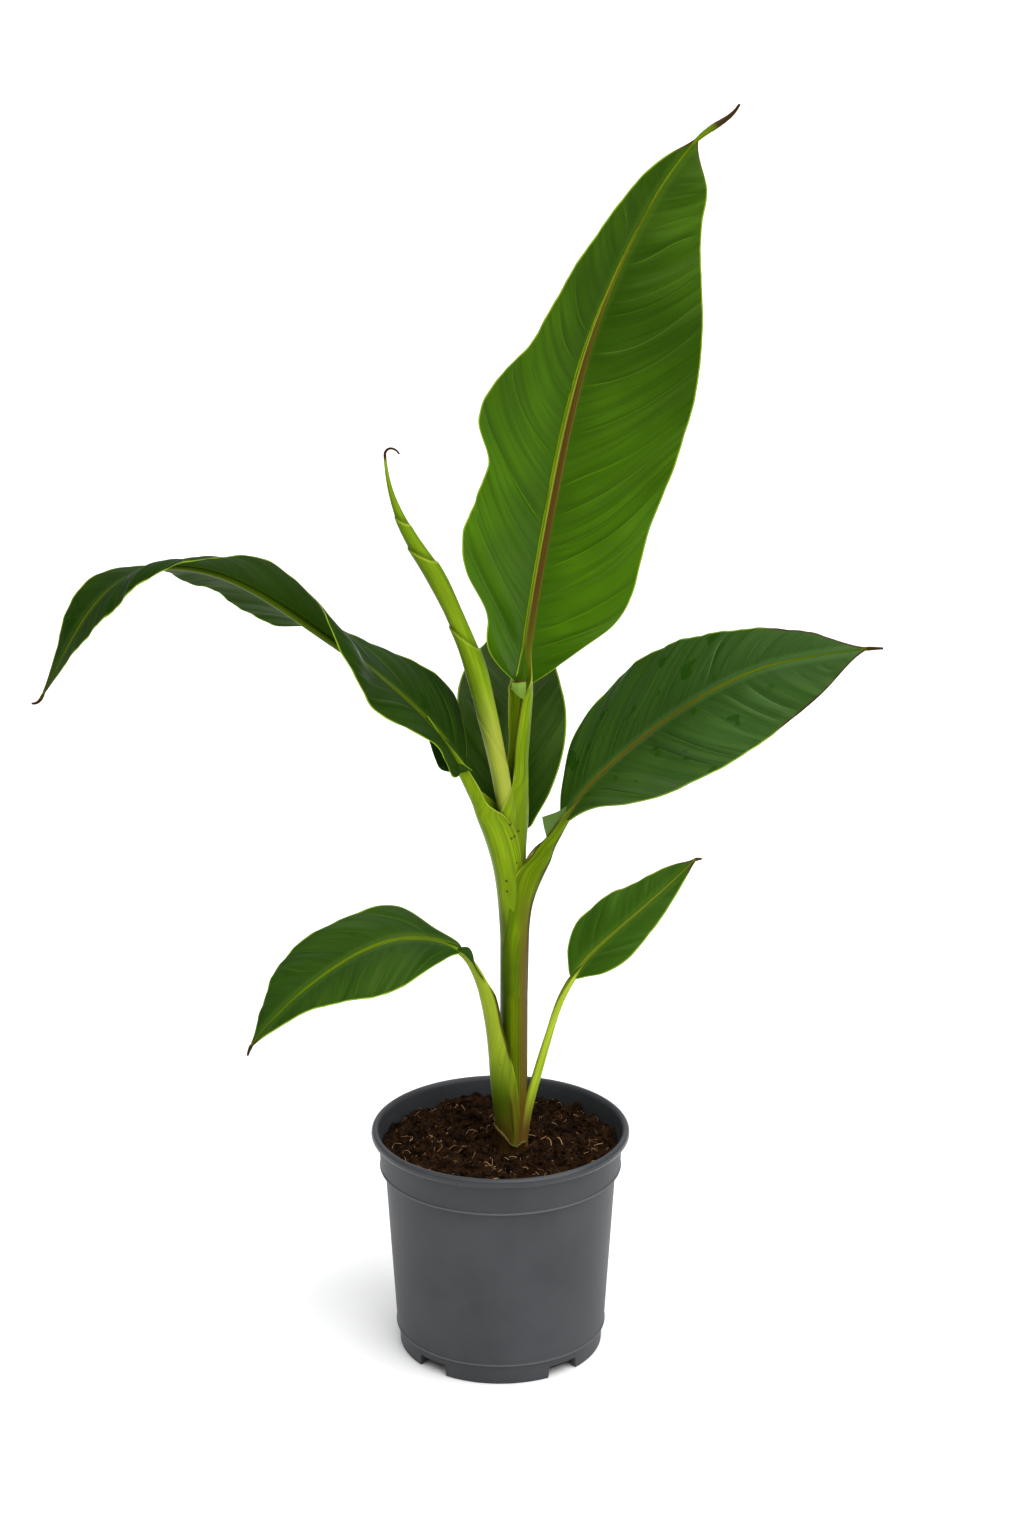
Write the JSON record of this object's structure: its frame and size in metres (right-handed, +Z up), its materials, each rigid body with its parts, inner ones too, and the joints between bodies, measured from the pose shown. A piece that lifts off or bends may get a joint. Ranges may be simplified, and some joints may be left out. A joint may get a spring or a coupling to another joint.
{
  "type": "potted banana plant",
  "caption": "Young banana plant in a round nursery pot: a sheathed pseudostem, broad leaves on grooved stalks and a new leaf still rolled.",
  "frame": {"origin": "middle of the flat pad under the pot, at floor level", "axes": "+Z up along the pot's axis, -Y towards the plant's front, +X to the right of someone who looks at the front"},
  "size_m": [0.4548, 0.1946, 0.7091],
  "materials": {
    "pot": "satin moulded polypropylene",
    "soil": "rough, moist peat and coir",
    "stem": "smooth living leaf sheaths, satin",
    "husk": "dry, matt",
    "new_leaf": "smooth, satin",
    "stalk": "smooth, satin",
    "leaf": "waxy, satin, with fine side veins",
    "bright_leaf": "waxy, satin, with fine side veins, lit through"
  },
  "bodies": {
    "root": {"pot": "pot", "soil": "soil", "pseudostem": "stem", "husk": "husk", "rolled_leaf": "new_leaf", "stalk_tall": "stalk", "stalk_left": "stalk", "stalk_right": "stalk", "stalk_back": "stalk", "stalk_lower_left": "stalk", "stalk_lower_right": "stalk", "blade_tall": "bright_leaf", "blade_left_inner": "leaf", "blade_left_outer": "leaf", "blade_right": "leaf", "blade_back": "leaf", "blade_lower_left": "leaf", "blade_lower_right": "leaf"}
  },
  "joints": []
}
